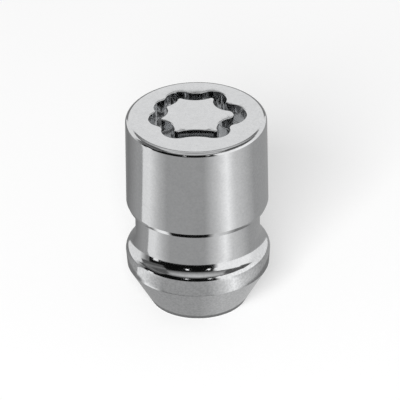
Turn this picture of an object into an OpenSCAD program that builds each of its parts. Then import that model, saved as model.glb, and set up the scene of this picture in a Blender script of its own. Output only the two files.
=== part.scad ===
// Locking wheel nut: one chromed steel piece with a round head, a narrower waist,
// a flanged 60 degree seat, a blind threaded bore and a lobed key groove in its closed top.
// It stands on its seat end. The origin is on the axis, at the seat end's flat face, and +Z
// runs up the axis to the closed top. Lengths are in millimetres.

/* [Head] */
// Diameter of the round head
head_d = 21; // [20.8:0.1:23]
// Height of the whole nut, from the seat end to the closed top
nut_h = 30.6; // [29.4:0.1:34]
// Height of the head alone, from its lower edge to the closed top
head_h = 14.8; // [12:0.1:15.2]
// Radius of the rounding on the top rim
rim_round = 0.8; // [0.3:0.05:1]
// Radius of the rounding on the head's lower edge
skirt_round = 0.8; // [0.2:0.05:0.9]

/* [Waist] */
// Diameter of the waist between the head and the flange
waist_d = 18.4; // [17.5:0.1:18.7]
// Radius of the fillet between the waist and the head
neck_fillet = 0.3; // [0.1:0.05:0.4]

/* [Flange] */
// Diameter of the flange at its lower edge, above the seat
flange_d = 20.95; // [20:0.05:23]
// Height of the flange's land, from its lower edge to the shoulder's slope
land_h = 2.8; // [2:0.05:3.5]
// Draft of the land, which widens upward, in degrees from the axis
land_draft = 4.5; // [0:0.5:6]
// Slope of the shoulder from the land up to the waist, in degrees from level
shoulder_slope = 41.5; // [38:0.5:50]
// Share of the shoulder's slope that the fillet sweeping up into the waist takes
sweep_share = 0.64; // [0.2:0.02:0.64]
// Share of the shoulder's slope that the rounding over into the land takes
shoulder_share = 0.35; // [0.15:0.02:0.35]

/* [Seat] */
// Included angle of the conical seat, in degrees
seat_angle = 60; // [56:1:64]
// Diameter of the seat cone at the end that the nut stands on
seat_end_d = 14; // [13.8:0.1:15]
// Radius of the rounding between the land and the seat cone
land_round = 0.3; // [0.2:0.05:0.8]
// Radius of the rounding on the seat end's outer edge
end_round = 0.25; // [0.1:0.05:0.3]

/* [Threaded bore] */
// Nominal diameter of the thread
thread_d = 12; // [11:0.5:12]
// Pitch of the thread
thread_pitch = 1.5; // [1.25:0.25:1.5]
// Depth of the bore at its full diameter, from the seat end
bore_depth = 21.5; // [18:0.5:22.5]
// Angle of the drill point that the blind end keeps, in degrees
drill_point = 118; // [110:1:140]
// Diameter of the countersink at the bore's mouth
mouth_d = 12.5; // [12.2:0.1:12.8]

/* [Key groove] */
// Distance from the axis to the groove's outer wall where its widest lobe ends
key_reach = 7.5; // [7.3:0.1:8]
// Width of the groove, the same all the way round
groove_w = 1.85; // [1.2:0.05:1.9]
// Depth of the groove below the closed top
groove_depth = 3; // [2:0.1:3.4]
// Width of the 45 degree edge break along both sides of the groove's mouth
edge_break = 0.15; // [0.05:0.05:0.2]

/* [Hidden] */

chrome = [0.8, 0.81, 0.82];
// Facets of a full circle in previews
facets = 96;
// Facets of a small rounding's full circle
round_facets = 48;
// How far a cut runs past the face that it opens
overrun = 1;
// How far two curves that should just touch reach into each other, so that no hairline is left
touch = 0.0002;
// How far a corner's piece spreads from its arc's centre, as a share of the plain kite
kite_share = 1.5;

head_r = head_d / 2;
waist_r = waist_d / 2;
flange_r = flange_d / 2;
seat_end_r = seat_end_d / 2;
mouth_r = mouth_d / 2;

// Depth of an ISO metric internal thread, both sides together, as a share of the pitch
thread_cut_share = 1.0825;
bore_r = (thread_d - thread_cut_share * thread_pitch) / 2;
// The countersink's sides lie at 45 degrees
mouth_depth = mouth_r - bore_r;
point_h = bore_r / tan(drill_point / 2);

// Heights along the axis, from the seat end up
seat_top_z = (flange_r - seat_end_r) / tan(seat_angle / 2);
land_top_z = seat_top_z + land_h;
land_top_r = flange_r + land_h * tan(land_draft);
waist_foot_z = land_top_z + (land_top_r - waist_r) * tan(shoulder_slope);
skirt_z = nut_h - head_h;

// A rounding takes its radius times the tangent of half its turn from each straight side
shoulder_run = (land_top_r - waist_r) / cos(shoulder_slope);
sweep_turn = 90 - shoulder_slope;
shoulder_turn = sweep_turn + land_draft;
sweep_fillet = sweep_share * shoulder_run / tan(sweep_turn / 2);
shoulder_round = shoulder_share * shoulder_run / tan(shoulder_turn / 2);

// The turned half section as corners, each with its distance from the axis, its height
// and the radius that rounds it. A rounding at an inward corner is a fillet.
section = [
    [0, 0, 0],
    [seat_end_r, 0, end_round],
    [flange_r, seat_top_z, land_round],
    [land_top_r, land_top_z, shoulder_round],
    [waist_r, waist_foot_z, sweep_fillet],
    [waist_r, skirt_z, neck_fillet],
    [head_r, skirt_z, skirt_round],
    [head_r, nut_h, rim_round],
    [0, nut_h, 0]
];

// The groove's outer wall runs round these lobes, counterclockwise from the one near +X.
// Direction of each lobe from the axis, in degrees
lobe_angles = [9, 66, 114, 142, 182, 231, 307];
// Distance of each lobe's centre from the axis, as a share of the key's reach
lobe_centre_shares = [0.6, 0.745, 0.745, 0.665, 0.63, 0.6, 0.595];
// Radius of each lobe, as a share of the key's reach
lobe_radius_shares = [0.4, 0.3, 0.3, 0.3, 0.305, 0.305, 0.305];
// Radius of the hollow between each lobe and the next, as a share of the key's reach
hollow_radius_shares = [0.12, 0.33, 0.12, 0.12, 0.12, 0.8, 0.12];

lobe_count = len(lobe_angles);
lobes = [for (i = [0:lobe_count - 1])
    key_reach * lobe_centre_shares[i] * [cos(lobe_angles[i]), sin(lobe_angles[i])]];
lobe_radii = key_reach * lobe_radius_shares;
hollow_radii = key_reach * hollow_radius_shares;
// The edge break's cut runs on above the closed top for half of its own height
break_cut_h = edge_break + edge_break / 2;

function next(i, count) = (i + 1) % count;

function unit(v) = v / norm(v);

// The point at distance a from p and b from q that lies on the right of the way from p to q
function meeting_point(p, q, a, b) =
    let (
        gap = norm(q - p),
        along = (gap * gap + a * a - b * b) / (2 * gap),
        way = unit(q - p)
    )
    p + along * way + sqrt(a * a - along * along) * [way.y, -way.x];

// A hollow's centre touches both of its lobes from outside the key
hollows = [for (i = [0:lobe_count - 1])
    let (j = next(i, lobe_count))
    meeting_point(lobes[i], lobes[j], lobe_radii[i] + hollow_radii[i], lobe_radii[j] + hollow_radii[i])];

// The piece that comes off an outward corner p of an outline, or goes into an inward one, to
// round it. The outline's points a, p and b lie counterclockwise about the arc's centre. The
// piece is a kite about that centre, less the arc's disc, and it runs on past the outline.
module corner_piece(p, a, b, r) {
    to_a = unit(a - p);
    to_b = unit(b - p);
    half_angle = acos(to_a * to_b) / 2;
    reach = r / tan(half_angle);
    centre = p + unit(to_a + to_b) * r / sin(half_angle);
    kite = [centre, p + reach * to_a, p, p + reach * to_b];
    difference() {
        polygon([for (point = kite) centre + kite_share * (point - centre)]);
        translate(centre) circle(r = r + touch, $fn = round_facets);
    }
}

// The pieces for the section's corners that turn outward, or for those that turn inward
module corner_pieces(outward) {
    for (i = [1:len(section) - 2]) {
        before = [section[i - 1].x, section[i - 1].y];
        corner = [section[i].x, section[i].y];
        after = [section[i + 1].x, section[i + 1].y];
        turns_outward = cross(corner - before, after - corner) > 0;
        if (turns_outward == outward)
            corner_piece(corner, outward ? before : after, outward ? after : before, section[i].z);
    }
}

module turned_section() {
    difference() {
        polygon([for (corner = section) [corner.x, corner.y]]);
        corner_pieces(true);
    }
    corner_pieces(false);
}

// The bore's half section: countersunk mouth, full diameter and drill point
module bore_section() {
    polygon([
        [0, -overrun],
        [mouth_r + overrun, -overrun],
        [bore_r, mouth_depth],
        [bore_r, bore_depth],
        [0, bore_depth + point_h]
    ]);
}

// A block with the key's outline, moved inward by one distance at its foot and by another at
// its top. Lobes shrink and hollows grow about the same centres, so walls made from such
// blocks keep an even distance all the way round, and a slope between them is even too.
module key_block(height, foot_inward, top_inward) {
    difference() {
        union() {
            linear_extrude(height)
                polygon([for (i = [0:lobe_count - 1]) each [lobes[i], hollows[i]]]);
            for (i = [0:lobe_count - 1])
                key_arc(lobes[i], height, lobe_radii[i] - foot_inward, lobe_radii[i] - top_inward);
        }
        for (i = [0:lobe_count - 1]) {
            cut_r = hollow_radii[i] + touch;
            key_arc(hollows[i], height, cut_r + foot_inward, cut_r + top_inward);
        }
    }
}

module key_arc(centre, height, foot_r, top_r) {
    translate(centre) cylinder(h = height, r1 = foot_r, r2 = top_r, $fn = facets);
}

// The groove runs between the outer wall and the island, which stands up to the closed top
module key_groove() {
    translate([0, 0, nut_h - groove_depth]) {
        difference() {
            key_block(groove_depth + overrun, 0, 0);
            key_block(groove_depth + overrun, groove_w, groove_w);
        }
    }
    translate([0, 0, nut_h - edge_break]) {
        difference() {
            key_block(break_cut_h, 0, -break_cut_h);
            key_block(break_cut_h, groove_w, groove_w + break_cut_h);
        }
    }
}

module locking_nut() {
    color(chrome)
        difference() {
            rotate_extrude($fn = facets) turned_section();
            rotate_extrude($fn = facets) bore_section();
            key_groove();
        }
}

locking_nut();
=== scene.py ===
import math

import bmesh
import bpy
from mathutils import Euler, Matrix, Vector


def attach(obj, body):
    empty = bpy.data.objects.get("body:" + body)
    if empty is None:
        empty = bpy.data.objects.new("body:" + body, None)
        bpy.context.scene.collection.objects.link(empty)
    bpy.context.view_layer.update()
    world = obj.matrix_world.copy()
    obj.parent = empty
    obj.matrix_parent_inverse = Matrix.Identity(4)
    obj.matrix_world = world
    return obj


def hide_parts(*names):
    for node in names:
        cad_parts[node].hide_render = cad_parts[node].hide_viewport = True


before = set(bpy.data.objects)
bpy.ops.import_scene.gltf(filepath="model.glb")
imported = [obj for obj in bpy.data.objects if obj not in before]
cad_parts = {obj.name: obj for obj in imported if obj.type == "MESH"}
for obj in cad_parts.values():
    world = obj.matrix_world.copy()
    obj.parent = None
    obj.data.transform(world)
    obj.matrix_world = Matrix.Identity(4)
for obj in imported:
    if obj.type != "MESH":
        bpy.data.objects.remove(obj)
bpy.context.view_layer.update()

# Outside of the nut
# One steel blank, cold headed and then turned: head, waist, flange and conical seat are one
# surface, and its edges are broken before plating. Sizes are in millimetres until it is scaled.
MM = 0.001
HEAD_R = 10.5
NUT_H = 30.599
HEAD_H = 14.8
RIM_ROUND = 0.8
SKIRT_RUN = 0.35
SKIRT_RISE = 0.86
SKIRT_ROUND = 0.3
WAIST_R = 9.2
NECK_FILLET = 0.3
FLANGE_R = 10.467
LAND_H = 2.8
LAND_DRAFT = math.radians(4.5)
LAND_ROUND = 0.1
SHOULDER_SLOPE = math.radians(41.5)
SWEEP_SHARE = 0.64
SHOULDER_SHARE = 0.35
SEAT_ANGLE = math.radians(60)
SEAT_END_R = 7
END_ROUND = 0.25
ARC_STEP = math.radians(5)
TURN_STEPS = 192
# Points that lie this close count as one
HAIR = 0.001

seat_top_z = (FLANGE_R - SEAT_END_R) / math.tan(SEAT_ANGLE / 2)
land_top_z = seat_top_z + LAND_H
land_top_r = FLANGE_R + LAND_H * math.tan(LAND_DRAFT)
waist_foot_z = land_top_z + (land_top_r - WAIST_R) * math.tan(SHOULDER_SLOPE)
skirt_z = NUT_H - HEAD_H
shoulder_run = (land_top_r - WAIST_R) / math.cos(SHOULDER_SLOPE)
sweep_turn = math.pi / 2 - SHOULDER_SLOPE
shoulder_turn = sweep_turn + LAND_DRAFT
sweep_fillet = SWEEP_SHARE * shoulder_run / math.tan(sweep_turn / 2)
shoulder_round = SHOULDER_SHARE * shoulder_run / math.tan(shoulder_turn / 2)

# Corners from the flat seat end up to the closed top: distance from the axis, height, rounding
section_corners = [
    (SEAT_END_R, 0, END_ROUND),
    (FLANGE_R, seat_top_z, LAND_ROUND),
    (land_top_r, land_top_z, shoulder_round),
    (WAIST_R, waist_foot_z, sweep_fillet),
    (WAIST_R, skirt_z, NECK_FILLET),
    (HEAD_R - SKIRT_RUN, skirt_z, SKIRT_ROUND),
    (HEAD_R, skirt_z + SKIRT_RISE, SKIRT_ROUND),
    (HEAD_R, NUT_H, RIM_ROUND),
]


def run_line(mesh, tip, place):
    """Draw a wire on to a place, or start it there, and return its new last vertex."""
    new_tip = mesh.verts.new(place)
    if tip is not None:
        mesh.edges.new((tip, new_tip))
    return new_tip


def run_arc(mesh, tip, centre, axis, angle, step=ARC_STEP):
    """Spin a wire's last vertex about an arc's centre, and return its new last vertex."""
    steps = max(2, math.ceil(abs(angle) / step))
    turned = bmesh.ops.spin(mesh, geom=[tip], cent=centre, axis=axis, angle=angle, steps=steps)
    return next(part for part in turned["geom_last"] if isinstance(part, bmesh.types.BMVert))


nut_mesh = bmesh.new()
places = [Vector((0, 0, 0))]
places += [Vector((r, 0, z)) for r, z, rounding in section_corners]
places += [Vector((0, 0, NUT_H))]
tip = None
for i, (r, z, rounding) in enumerate(section_corners):
    corner = places[i + 1]
    to_before = (places[i] - corner).normalized()
    to_after = (places[i + 2] - corner).normalized()
    half_angle = to_before.angle(to_after) / 2
    reach = rounding / math.tan(half_angle)
    centre = corner + (to_before + to_after).normalized() * rounding / math.sin(half_angle)
    way = -1 if to_before.cross(to_after).y > 0 else 1
    tip = run_line(nut_mesh, tip, corner + to_before * reach)
    tip = run_arc(nut_mesh, tip, centre, (0, way, 0), math.pi - 2 * half_angle)

bmesh.ops.spin(
    nut_mesh,
    geom=nut_mesh.verts[:] + nut_mesh.edges[:],
    cent=(0, 0, 0),
    axis=(0, 0, 1),
    angle=math.tau,
    steps=TURN_STEPS,
    use_merge=True,
)

# Key groove in the closed top
# A lobed groove pressed into the steel, which only its own key fits. It leaves a solid
# island that stands level with the top, and both of its upper edges are broken.
KEY_REACH = 7.5
GROOVE_W = 1.85
GROOVE_DEPTH = 3
EDGE_BREAK = 0.15
FLOOR_FILLET = 0.15
QUARTER = math.pi / 2
# Steps of the small arcs in the groove's cross section, and of its way round the lobes
EDGE_STEP = math.radians(15)
SWEEP_STEP = math.radians(4)
lobe_angles = [9, 66, 114, 142, 182, 231, 307]
lobe_centre_shares = [0.6, 0.745, 0.745, 0.665, 0.63, 0.6, 0.595]
lobe_radius_shares = [0.4, 0.3, 0.3, 0.3, 0.305, 0.305, 0.305]
hollow_radius_shares = [0.12, 0.33, 0.12, 0.12, 0.12, 0.8, 0.12]

lobe_count = len(lobe_angles)
lobe_radii = [KEY_REACH * share for share in lobe_radius_shares]
hollow_radii = [KEY_REACH * share for share in hollow_radius_shares]
lobes = [
    Matrix.Rotation(math.radians(angle), 4, "Z") @ Vector((KEY_REACH * share, 0, 0))
    for angle, share in zip(lobe_angles, lobe_centre_shares)
]


def meeting_point(p, q, a, b):
    """The point at distance a from p and b from q, on the right of the way from p to q."""
    gap = (q - p).length
    along = (gap * gap + a * a - b * b) / (2 * gap)
    way = (q - p).normalized()
    return p + along * way + math.sqrt(a * a - along * along) * Vector((way.y, -way.x, 0))


# A hollow's centre touches the lobes on both sides of it from outside the key
hollows = []
for i in range(lobe_count):
    j = (i + 1) % lobe_count
    from_lobe = lobe_radii[i] + hollow_radii[i]
    from_next = lobe_radii[j] + hollow_radii[i]
    hollows.append(meeting_point(lobes[i], lobes[j], from_lobe, from_next))

# The groove's cross section is a wire that stands on the first lobe's outline
outward = (hollows[-1] - lobes[0]).normalized()
across = outward.cross(Vector((0, 0, 1)))
outline_start = lobes[0] + outward * lobe_radii[0]
floor_z = NUT_H - GROOVE_DEPTH
lip_z = NUT_H - EDGE_BREAK
fillet_z = floor_z + FLOOR_FILLET

# Arcs from the outer edge over the floor to the island: start, centre and turn. Places are
# given by their distance out from the outer wall and their height.
edge_arcs = [
    ((EDGE_BREAK, NUT_H), (EDGE_BREAK, lip_z), QUARTER),
    ((0, fillet_z), (-FLOOR_FILLET, fillet_z), -QUARTER),
    ((FLOOR_FILLET - GROOVE_W, floor_z), (FLOOR_FILLET - GROOVE_W, fillet_z), -QUARTER),
    ((-GROOVE_W, lip_z), (-GROOVE_W - EDGE_BREAK, lip_z), QUARTER),
]


def on_section(out, z):
    """A place on the groove's cross section, out from the outer wall and at a height."""
    return outline_start + outward * out + Vector((0, 0, z))


groove_mesh = bmesh.new()
tip = None
for start, centre, turn in edge_arcs:
    tip = run_line(groove_mesh, tip, on_section(*start))
    tip = run_arc(groove_mesh, tip, on_section(*centre), across, turn, EDGE_STEP)


def turn_about(centre, start, end):
    """The counterclockwise turn about a centre from one place to another."""
    a, b = (start - centre).xy, (end - centre).xy
    return math.atan2(a.x * b.y - a.y * b.x, a.dot(b)) % math.tau


def carry_round(section, centre, angle):
    """Spin the groove's last cross section about one centre, and return the new last one."""
    steps = max(2, math.ceil(abs(angle) / SWEEP_STEP))
    turned = bmesh.ops.spin(
        groove_mesh, geom=section, cent=centre, axis=(0, 0, 1), angle=angle, steps=steps
    )
    return turned["geom_last"]


# The cross section is carried round each lobe and then back round each hollow
section = groove_mesh.verts[:] + groove_mesh.edges[:]
for i in range(lobe_count):
    before, lobe, hollow, after = hollows[i - 1], lobes[i], hollows[i], lobes[(i + 1) % lobe_count]
    section = carry_round(section, lobe, turn_about(lobe, before, hollow))
    section = carry_round(section, hollow, turn_about(hollow, lobe, after) - math.tau)
bmesh.ops.remove_doubles(groove_mesh, verts=groove_mesh.verts, dist=HAIR)

# Threaded bore
# The blind hole is drilled from the seat end, countersunk and tapped M12 x 1.5. The tap
# leaves a few shallower turns before the blind end, which keeps the drill's point.
THREAD_R = 6
PITCH = 1.5
FLANK_ANGLE = math.radians(30)
# A metric thread is cut this share of its triangle's height deep
THREAD_CUT_SHARE = 5 / 8
MOUTH_R = 6.25
BORE_DEPTH = 21.5
DRILL_POINT = math.radians(118)
FULL_THREAD_Z = 18
LEAD_TURNS = 2
SPARE_TURNS = 2
THREAD_STEPS = 96
thread_h = PITCH / 2 / math.tan(FLANK_ANGLE)
bore_r = THREAD_R - thread_h * THREAD_CUT_SHARE
flank_z = (THREAD_R - bore_r) * math.tan(FLANK_ANGLE)
crest_z = PITCH / 4
root_z = PITCH / 8
thread_form = [(bore_r, crest_z), (THREAD_R, flank_z), (THREAD_R, root_z), (bore_r, flank_z)]

bore_mesh = bmesh.new()
tip = run_line(bore_mesh, None, (bore_r, 0, -SPARE_TURNS * PITCH))
for turn in range(math.ceil(BORE_DEPTH / PITCH) + SPARE_TURNS + 1):
    for r, rise in thread_form:
        tip = run_line(bore_mesh, tip, (r, 0, tip.co.z + rise))
bmesh.ops.subdivide_edges(bore_mesh, edges=bore_mesh.edges, cuts=2)
bmesh.ops.spin(
    bore_mesh,
    geom=bore_mesh.verts[:] + bore_mesh.edges[:],
    cent=(0, 0, 0),
    axis=(0, 0, 1),
    angle=math.tau,
    steps=THREAD_STEPS,
    dvec=(0, 0, PITCH / THREAD_STEPS),
)
bmesh.ops.remove_doubles(bore_mesh, verts=bore_mesh.verts, dist=HAIR)
for plane_z, way in ((0, -1), (BORE_DEPTH, 1)):
    bmesh.ops.bisect_plane(
        bore_mesh,
        geom=bore_mesh.verts[:] + bore_mesh.edges[:] + bore_mesh.faces[:],
        plane_co=(0, 0, plane_z),
        plane_no=(0, 0, way),
        clear_outer=True,
    )
for vert in bore_mesh.verts:
    lead = (vert.co.z - FULL_THREAD_Z) / (LEAD_TURNS * PITCH)
    lead_r = THREAD_R - (THREAD_R - bore_r) * min(max(lead, 0), 1)
    r = max(min(vert.co.xy.length, lead_r), MOUTH_R - vert.co.z)
    vert.co.xy = vert.co.xy.normalized() * r


def rim_edges(mesh, z):
    """The open edges that lie at one height."""
    return [
        edge
        for edge in mesh.edges
        if edge.is_boundary and all(abs(vert.co.z - z) < HAIR for vert in edge.verts)
    ]


drill_cone = bmesh.ops.extrude_edge_only(bore_mesh, edges=rim_edges(bore_mesh, BORE_DEPTH))
cone_verts = [part for part in drill_cone["geom"] if isinstance(part, bmesh.types.BMVert)]
point_z = BORE_DEPTH + bore_r / math.tan(DRILL_POINT / 2)
bmesh.ops.pointmerge(bore_mesh, verts=cone_verts, merge_co=(0, 0, point_z))

# The three surfaces become one closed skin: the flat top runs from the rim to the groove,
# the island has its own flat top, and the flat seat end runs from the bore's mouth.
SHARP_EDGE = math.radians(30)
# A face's finish is its place among the nut's materials, and the outside has the first
BORE_FINISH, GROOVE_FINISH = 1, 2
for part_mesh, name, finish in (
    (groove_mesh, "groove", GROOVE_FINISH),
    (bore_mesh, "bore", BORE_FINISH),
):
    for face in part_mesh.faces:
        face.material_index = finish
    loose = bpy.data.meshes.new(name)
    part_mesh.to_mesh(loose)
    part_mesh.free()
    nut_mesh.from_mesh(loose)
    bpy.data.meshes.remove(loose)
for z, way in ((NUT_H, 1), (0, -1)):
    bmesh.ops.triangle_fill(nut_mesh, use_beauty=True, edges=rim_edges(nut_mesh, z), normal=(0, 0, way))
bmesh.ops.remove_doubles(nut_mesh, verts=nut_mesh.verts, dist=HAIR / 2)
bmesh.ops.recalc_face_normals(nut_mesh, faces=nut_mesh.faces)
for face in nut_mesh.faces:
    face.smooth = True
for edge in nut_mesh.edges:
    edge.smooth = not edge.is_manifold or edge.calc_face_angle() < SHARP_EDGE
bmesh.ops.scale(nut_mesh, vec=(MM, MM, MM), verts=nut_mesh.verts)

nut_data = bpy.data.meshes.new("chromed_nut")
nut_mesh.to_mesh(nut_data)
nut_mesh.free()
nut = bpy.data.objects.new("chromed_nut", nut_data)
bpy.context.scene.collection.objects.link(nut)
flat_faces_rule = nut.modifiers.new("flat_faces_rule", "WEIGHTED_NORMAL")
flat_faces_rule.mode = "FACE_AREA"
flat_faces_rule.weight = 100
flat_faces_rule.keep_sharp = True

# Bright chrome over nickel: nearly a mirror, with a faint orange peel from the plating and
# a slight haze that comes and goes. The turned land and seat show more grain than the head.
HAZE_SCALE, HAZE_DETAIL, HAZE_BREAKUP = 420, 7, 0.8
HAZE_LOW, HAZE_HIGH = 0.3, 0.7
HAZE_DARK = (0.71, 0.717, 0.725)
HAZE_BRIGHT = (0.85, 0.857, 0.865)
HAZE_SHARE = 0.5
GRAIN_SCALE, GRAIN_DETAIL = 2800, 2
GRAIN_BELOW_LAND, GRAIN_ABOVE_LAND = 1.5, 0.5
GRAIN_FADE_H = 0.8
NOISE_MIDDLE = 0.5
CHROME_ROUGH = (0.08, 0.13)
PEEL_SCALE, PEEL_DETAIL = 900, 2
PEEL_STRENGTH, PEEL_HEIGHT = 0.05, 0.00002


def start_metal(name):
    """A bare metal: its material, node tree, shader and the place on the piece."""
    metal = bpy.data.materials.new(name)
    metal.use_nodes = True
    tree = metal.node_tree
    shader = tree.nodes["Principled BSDF"]
    shader.inputs["Metallic"].default_value = 1
    place = tree.nodes.new("ShaderNodeTexCoord")
    place.name = "place"
    return metal, tree, shader, place.outputs["Object"]


def add_noise(tree, place, scale, detail):
    """A noise pattern that is fixed to the piece."""
    noise = tree.nodes.new("ShaderNodeTexNoise")
    noise.inputs["Scale"].default_value = scale
    noise.inputs["Detail"].default_value = detail
    tree.links.new(place, noise.inputs["Vector"])
    return noise


def add_height(tree, place):
    """The height of the place on the piece."""
    split = tree.nodes.new("ShaderNodeSeparateXYZ")
    tree.links.new(place, split.inputs["Vector"])
    return split.outputs["Z"]


def add_range(tree, value, low, high, to_low=0, to_high=1):
    """Carry a value from one range to another."""
    mapped = tree.nodes.new("ShaderNodeMapRange")
    limits = {"From Min": low, "From Max": high, "To Min": to_low, "To Max": to_high}
    for name, limit in limits.items():
        mapped.inputs[name].default_value = limit
    tree.links.new(value, mapped.inputs["Value"])
    return mapped.outputs["Result"]


def add_ramp(tree, value, stops):
    """Turn a value into a colour through a ramp's stops."""
    ramp_node = tree.nodes.new("ShaderNodeValToRGB")
    ramp = ramp_node.color_ramp
    ramp.elements.remove(ramp.elements[-1])
    for step, (spot, colour) in enumerate(stops):
        stop = ramp.elements[0] if step == 0 else ramp.elements.new(spot)
        stop.position = spot
        stop.color = (*colour, 1)
    tree.links.new(value, ramp_node.inputs["Fac"])
    return ramp_node.outputs["Color"]


def add_math(tree, operation, *values):
    """One step of arithmetic on sockets and plain numbers."""
    step = tree.nodes.new("ShaderNodeMath")
    step.operation = operation
    for slot, value in zip(step.inputs, values):
        if isinstance(value, bpy.types.NodeSocket):
            tree.links.new(value, slot)
        else:
            slot.default_value = value
    return step.outputs["Value"]


def add_bump(tree, height, strength, distance, shader):
    """Raise the shader's surface by a pattern."""
    bump = tree.nodes.new("ShaderNodeBump")
    bump.inputs["Strength"].default_value = strength
    bump.inputs["Distance"].default_value = distance
    tree.links.new(height, bump.inputs["Height"])
    tree.links.new(bump.outputs["Normal"], shader.inputs["Normal"])


chrome, tree, shader, place = start_metal("bright_chrome")
haze = add_noise(tree, place, HAZE_SCALE, HAZE_DETAIL)
haze.inputs["Roughness"].default_value = HAZE_BREAKUP
haze = haze.outputs["Fac"]
grain = add_noise(tree, place, GRAIN_SCALE, GRAIN_DETAIL).outputs["Fac"]
grain_from, grain_to = land_top_z * MM, (land_top_z + GRAIN_FADE_H) * MM
grain_swing = add_range(
    tree, add_height(tree, place), grain_from, grain_to, GRAIN_BELOW_LAND, GRAIN_ABOVE_LAND
)
grain_off_middle = add_math(tree, "SUBTRACT", grain, NOISE_MIDDLE)
soft_haze = add_math(tree, "MULTIPLY_ADD", haze, HAZE_SHARE, NOISE_MIDDLE * (1 - HAZE_SHARE))
grain_and_haze = add_math(tree, "MULTIPLY_ADD", grain_off_middle, grain_swing, soft_haze)
haze_tone = add_ramp(tree, grain_and_haze, [(HAZE_LOW, HAZE_DARK), (HAZE_HIGH, HAZE_BRIGHT)])
haze_tone.node.name = "haze_tone"
tree.links.new(haze_tone, shader.inputs["Base Color"])
chrome_rough = add_range(tree, haze, HAZE_LOW, HAZE_HIGH, *CHROME_ROUGH)
tree.links.new(chrome_rough, shader.inputs["Roughness"])
peel = add_noise(tree, place, PEEL_SCALE, PEEL_DETAIL).outputs["Fac"]
add_bump(tree, peel, PEEL_STRENGTH, PEEL_HEIGHT, shader)

# In the groove the same chrome is painted darker on the lower walls than on the floor and the upper
# walls:
# painted shade in the recess. Each stop is a share of the way up the wall and the share of the chrome's
# tone there.
WALL_SHADE_TONE = 0.82
shade_up_wall = [(0.03, 1), (0.07, WALL_SHADE_TONE), (0.5, WALL_SHADE_TONE), (0.64, 1)]
groove_shaded_chrome = chrome.copy()
groove_shaded_chrome.name = "groove_chrome_painted_shade"
tree = groove_shaded_chrome.node_tree
place = tree.nodes["place"].outputs["Object"]
share_up = add_range(tree, add_height(tree, place), floor_z * MM, NUT_H * MM)
wall_shade = add_ramp(tree, share_up, [(spot, (tone,) * 3) for spot, tone in shade_up_wall])
wall_tone = tree.nodes.new("ShaderNodeMix")
wall_tone.data_type = "RGBA"
wall_tone.blend_type = "MULTIPLY"
wall_tone.inputs["Factor"].default_value = 1
tree.links.new(tree.nodes["haze_tone"].outputs["Color"], wall_tone.inputs["A"])
tree.links.new(wall_shade, wall_tone.inputs["B"])
tree.links.new(wall_tone.outputs["Result"], tree.nodes["Principled BSDF"].inputs["Base Color"])

# Inside the bore the plating is thin: dull grey nickel over the cut steel, stained in
# patches and a little rough from the tap.
STAIN_SCALE, STAIN_DETAIL = 500, 5
STAIN_STOPS = [(0.3, (0.42, 0.42, 0.41)), (0.7, (0.58, 0.575, 0.56))]
NICKEL_ROUGH = (0.24, 0.42)
TOOL_STRENGTH, TOOL_HEIGHT = 0.15, 0.00003
bore_plating, tree, shader, place = start_metal("thin_nickel")
stain = add_noise(tree, place, STAIN_SCALE, STAIN_DETAIL).outputs["Fac"]
tree.links.new(add_ramp(tree, stain, STAIN_STOPS), shader.inputs["Base Color"])
tree.links.new(add_range(tree, stain, 0, 1, *NICKEL_ROUGH), shader.inputs["Roughness"])
add_bump(tree, stain, TOOL_STRENGTH, TOOL_HEIGHT, shader)

for finish in (chrome, bore_plating, groove_shaded_chrome):
    nut_data.materials.append(finish)
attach(nut, "root")
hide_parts("locking_nut")

# Floor
# A wide matt white table top, which catches the nut's soft shadow. It isn't part of the nut.
FLOOR_HALF = 1.5
TABLE_WHITE = (0.96, 0.96, 0.96, 1)
# How much of the table's tone is plain white to the camera and in the metal
TABLE_GLOW = 0.45


def add_seen_directly(tree):
    """1 for rays from the camera, off metal or through glass, and 0 for all others."""
    rays = tree.nodes.new("ShaderNodeLightPath").outputs
    seen = add_math(tree, "ADD", rays["Is Camera Ray"], rays["Is Glossy Ray"])
    seen = add_math(tree, "ADD", seen, rays["Is Transmission Ray"])
    seen.node.use_clamp = True
    return seen


def add_blend(tree, share, first, second, out):
    """Mix two shaders by a share of the second, and send them out."""
    blend = tree.nodes.new("ShaderNodeMixShader")
    tree.links.new(share, blend.inputs["Fac"])
    tree.links.new(first, blend.inputs[1])
    tree.links.new(second, blend.inputs[2])
    tree.links.new(blend.outputs["Shader"], out.inputs["Surface"])


floor_mesh = bmesh.new()
bmesh.ops.create_grid(floor_mesh, x_segments=8, y_segments=8, size=FLOOR_HALF)
floor_data = bpy.data.meshes.new("floor")
floor_mesh.to_mesh(floor_data)
floor_mesh.free()
floor = bpy.data.objects.new("floor", floor_data)
bpy.context.scene.collection.objects.link(floor)

table_white = bpy.data.materials.new("table_white")
table_white.use_nodes = True
tree = table_white.node_tree
tree.nodes.clear()
out = tree.nodes.new("ShaderNodeOutputMaterial")
paper = tree.nodes.new("ShaderNodeBsdfDiffuse")
paper.inputs["Color"].default_value = TABLE_WHITE
glow = tree.nodes.new("ShaderNodeEmission")
glow.inputs["Strength"].default_value = 1
share = add_math(tree, "MULTIPLY", add_seen_directly(tree), TABLE_GLOW)
add_blend(tree, share, paper.outputs["BSDF"], glow.outputs["Emission"], out)
floor_data.materials.append(table_white)

# Studio cards
# Plain and graded grey cards, which only the metal shows, stand in for a studio round the nut.
# Azimuths are in degrees from the front, which is -Y, to the right. Sizes are in metres.
# Eight greys of card serve the whole studio, and the lamp heads are brighter than white card.
# The cards' places and greys were chosen so that the chrome looks as it does in the photograph.
BLACK, DARK, SHADE, GREY, HALF, PALE, LIGHT, WHITE = 0.004, 0.1, 0.2, 0.35, 0.5, 0.65, 0.82, 1.0
LAMP = 1.4
CARD_STEPS = 96
FULL_TURN = (-180, 180)


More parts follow.
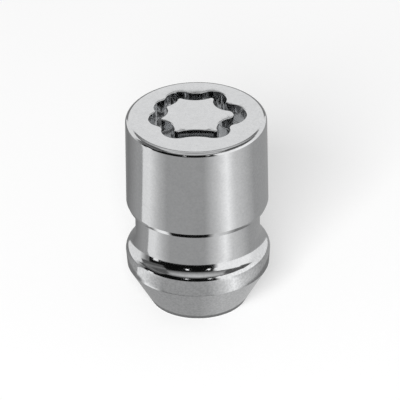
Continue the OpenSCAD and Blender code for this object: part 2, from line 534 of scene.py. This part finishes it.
def start_card(name):
    """A card material that only glows: the material, its node tree and its colour."""
    card = bpy.data.materials.new(name)
    card.use_nodes = True
    tree = card.node_tree
    tree.nodes.clear()
    out = tree.nodes.new("ShaderNodeOutputMaterial")
    glow = tree.nodes.new("ShaderNodeEmission")
    tree.links.new(glow.outputs["Emission"], out.inputs["Surface"])
    return card, tree, glow.inputs["Color"]


def plain_greys(name, tone):
    """A card material of one grey."""
    card, tree, colour = start_card(name)
    colour.default_value = (tone, tone, tone, 1)
    return card


def graded_greys(name, tones, up_axis):
    """A card material whose grey changes along a ramp, up the axis or round it."""
    card, tree, colour = start_card(name)
    place = tree.nodes.new("ShaderNodeTexCoord")
    turned = tree.nodes.new("ShaderNodeMapping")
    along = tree.nodes.new("ShaderNodeTexGradient")
    if up_axis:
        turned.inputs["Rotation"].default_value = (0, QUARTER, 0)
    else:
        along.gradient_type = "RADIAL"
    tree.links.new(place.outputs["Object"], turned.inputs["Vector"])
    tree.links.new(turned.outputs["Vector"], along.inputs["Vector"])
    stops = [(spot, (tone,) * 3) for spot, tone in sorted(tones)]
    tree.links.new(add_ramp(tree, along.outputs["Fac"], stops), colour)
    return card


def sector_greys(name, tones):
    """A card material with a grey for each azimuth. Its ramp begins at the left, at -90."""
    return graded_greys(name, [((azimuth + 90) % 360 / 360, tone) for azimuth, tone in tones], False)


def rise_greys(name, radius, tones):
    """A card material with a grey for each elevation on a dome about the origin."""
    rises = [(radius * math.sin(math.radians(rise)), tone) for rise, tone in tones]
    return graded_greys(name, rises, True)


def wall_profile(radius, rises):
    """An upright profile at a radius, through the given elevations."""
    return [(radius, radius * math.tan(math.radians(rise))) for rise in rises]


def dome_profile(radius, rises):
    """An arched profile about the origin, through the given elevations."""
    angles = [math.radians(rise) for rise in rises]
    return [(radius * math.cos(angle), radius * math.sin(angle)) for angle in angles]


def stand_card(name, profile, azimuths, greys):
    """Turn a profile of radii and heights between two azimuths, into a card for the metal alone."""
    mesh = bmesh.new()
    start = Matrix.Rotation(math.radians(azimuths[0] - 90), 3, "Z")
    tip = None
    for r, z in profile:
        tip = run_line(mesh, tip, start @ Vector((r, 0, z)))
    bmesh.ops.spin(
        mesh,
        geom=mesh.verts[:] + mesh.edges[:],
        cent=(0, 0, 0),
        axis=(0, 0, 1),
        angle=math.radians(azimuths[1] - azimuths[0]),
        steps=CARD_STEPS,
        use_merge=azimuths == FULL_TURN,
    )
    data = bpy.data.meshes.new(name)
    mesh.to_mesh(data)
    mesh.free()
    data.materials.append(greys)
    card = bpy.data.objects.new(name, data)
    bpy.context.scene.collection.objects.link(card)
    card.visible_camera = False
    card.visible_diffuse = False
    card.visible_shadow = False
    card.visible_transmission = False


# Rings of card lie on the table, from the nut's foot outward. The foot, seat and skirt rings are
# painted shade:
# their greys stand for the nut's own shadow on the table round its foot, with black in front under the
# head.
CARD_Z = 0.0001
FOOT_R, SEAT_R, SKIRT_R, TABLE_R, WALL_R = 0.0035, 0.0074, 0.0108, 0.017, 0.5
seat_tones = [(-180, GREY), (0, GREY), (28, HALF), (100, HALF), (130, GREY)]
skirt_tones = [
    (-82, SHADE), (-70, WHITE), (-54, WHITE), (-44, BLACK),
    (16, BLACK), (28, PALE), (48, PALE), (66, SHADE),
]
table_tones = [
    (-180, GREY), (-135, SHADE), (-102, GREY), (-75, LIGHT), (-58, HALF), (-45, GREY),
    (10, GREY), (30, PALE), (45, WHITE), (58, PALE), (78, HALF), (95, GREY),
]
for name, inner_r, outer_r, greys in (
    ("foot_shade_card", FOOT_R, SEAT_R, plain_greys("foot_shade_greys", SHADE)),
    ("seat_card", SEAT_R, SKIRT_R, sector_greys("seat_greys", seat_tones)),
    ("skirt_card", SKIRT_R, TABLE_R, sector_greys("skirt_greys", skirt_tones)),
    ("table_card", TABLE_R, WALL_R, sector_greys("table_greys", table_tones)),
):
    stand_card(name, [(inner_r, CARD_Z), (outer_r, CARD_Z)], FULL_TURN, greys)

# The wall round the table is black in front, with a soft box at the right. Cards stand before
# it: their radius, elevations, azimuths and grey.
WALL_TOP = 40.5
wall_tones = [
    (-112, LIGHT), (-96, SHADE), (-80, BLACK), (26, BLACK), (34, WHITE), (92, WHITE), (104, LIGHT),
]
wall_cards = [
    ("low_card", 0.49, (0, 9), (-81, -71), WHITE),
    ("left_card", 0.49, (33, 42.5), (-110, -60), SHADE),
    ("left_low_card", 0.49, (22, 33), (-108, -62), DARK),
    ("edge_card", 0.47, (24, 35), (28, 35), WHITE),
    ("back_card", 0.49, (0, 22), (150, 212), SHADE),
    ("lamp_head", 0.48, (24, 31), (-21.5, -16.5), LAMP),
    ("lamp_head", 0.48, (24, 31), (15.5, 20.5), LAMP),
]
wall_greys = sector_greys("wall_greys", wall_tones)
stand_card("wall_card", wall_profile(WALL_R, (0, WALL_TOP)), FULL_TURN, wall_greys)
for name, radius, rises, azimuths, tone in wall_cards:
    stand_card(name, wall_profile(radius, rises), azimuths, plain_greys(name + "_greys", tone))

# The ceiling is a grey dome, and dark flags hang below it over the soft box and at the left
DOME_R = 0.62
DOME_RISES = range(40, 91, 5)
FLAG_R = 0.55
dome_tones = [(40, DARK), (45, SHADE), (51, GREY), (58, HALF), (66, PALE), (75, HALF), (85, GREY)]
dome_flags = [
    ("right_flag", (42, 50, 60, 68), (54, 120)),
    ("side_flag", (36, 42), (80, 120)),
    ("left_flag", (42, 50, 62), (-120, -62)),
]
ceiling_greys = rise_greys("ceiling_greys", DOME_R, dome_tones)
stand_card("ceiling_card", dome_profile(DOME_R, DOME_RISES), FULL_TURN, ceiling_greys)
for name, rises, azimuths in dome_flags:
    stand_card(name, dome_profile(FLAG_R, rises), azimuths, plain_greys(name + "_greys", DARK))

# Light
# A pale room lights the nut all round at a plain level. One broad soft lamp at the front
# left throws the long soft shadow, and the metal doesn't show it.
ROOM_GREY = (0.84, 0.84, 0.84, 1)
ROOM_LIGHT = 0.45
LAMP_TURN, LAMP_RISE = math.radians(-12 - 90), math.radians(34)
LAMP_DISTANCE = 1.2
LAMP_SIZE = (0.58, 0.45)
LAMP_WATTS = 17.6
world = bpy.data.worlds.new("studio")
bpy.context.scene.world = world
world.use_nodes = True
tree = world.node_tree
sky = tree.nodes["Background"]
sky.inputs["Color"].default_value = ROOM_GREY
sky.inputs["Strength"].default_value = ROOM_LIGHT
room = tree.nodes.new("ShaderNodeBackground")
room.inputs["Color"].default_value = ROOM_GREY
world_out = tree.nodes["World Output"]
seen = add_seen_directly(tree)
add_blend(tree, seen, sky.outputs["Background"], room.outputs["Background"], world_out)

lamp_data = bpy.data.lights.new("key_lamp", "AREA")
lamp_data.shape = "RECTANGLE"
lamp_data.size, lamp_data.size_y = LAMP_SIZE
lamp_data.energy = LAMP_WATTS
key_lamp = bpy.data.objects.new("key_lamp", lamp_data)
bpy.context.scene.collection.objects.link(key_lamp)
level = math.cos(LAMP_RISE)
to_lamp = Vector((level * math.cos(LAMP_TURN), level * math.sin(LAMP_TURN), math.sin(LAMP_RISE)))
key_lamp.location = to_lamp * LAMP_DISTANCE
key_lamp.rotation_euler = to_lamp.to_track_quat("Z", "Y").to_euler()
key_lamp.visible_glossy = False

# Camera
# It keeps lines parallel, as the photograph does as far as can be measured, at the
# photograph's angle. The seat end's centre lies at a given pixel, counted from the top left.
VIEW_RISE = math.radians(31.47)
VIEW_ROLL = math.radians(-0.89)
PIXELS_PER_MM = 6.773
FRAME = 400
SEAT_CENTRE = (198.8, 293.97)
CAMERA_DISTANCE = 0.6
camera_data = bpy.data.cameras.new("camera")
camera_data.type = "ORTHO"
camera_data.ortho_scale = FRAME / PIXELS_PER_MM * MM
camera_data.clip_start = 0.01
camera_data.clip_end = 10
camera = bpy.data.objects.new("camera", camera_data)
bpy.context.scene.collection.objects.link(camera)
turned = Euler((QUARTER - VIEW_RISE, 0, 0)).to_matrix() @ Matrix.Rotation(VIEW_ROLL, 3, "Z")
aim = Vector((FRAME / 2 - SEAT_CENTRE[0], SEAT_CENTRE[1] - FRAME / 2, 0)) / PIXELS_PER_MM * MM
camera.location = turned @ (aim + Vector((0, 0, CAMERA_DISTANCE)))
camera.rotation_euler = turned.to_euler()
bpy.context.scene.camera = camera

bpy.context.scene.view_settings.view_transform = "Standard"
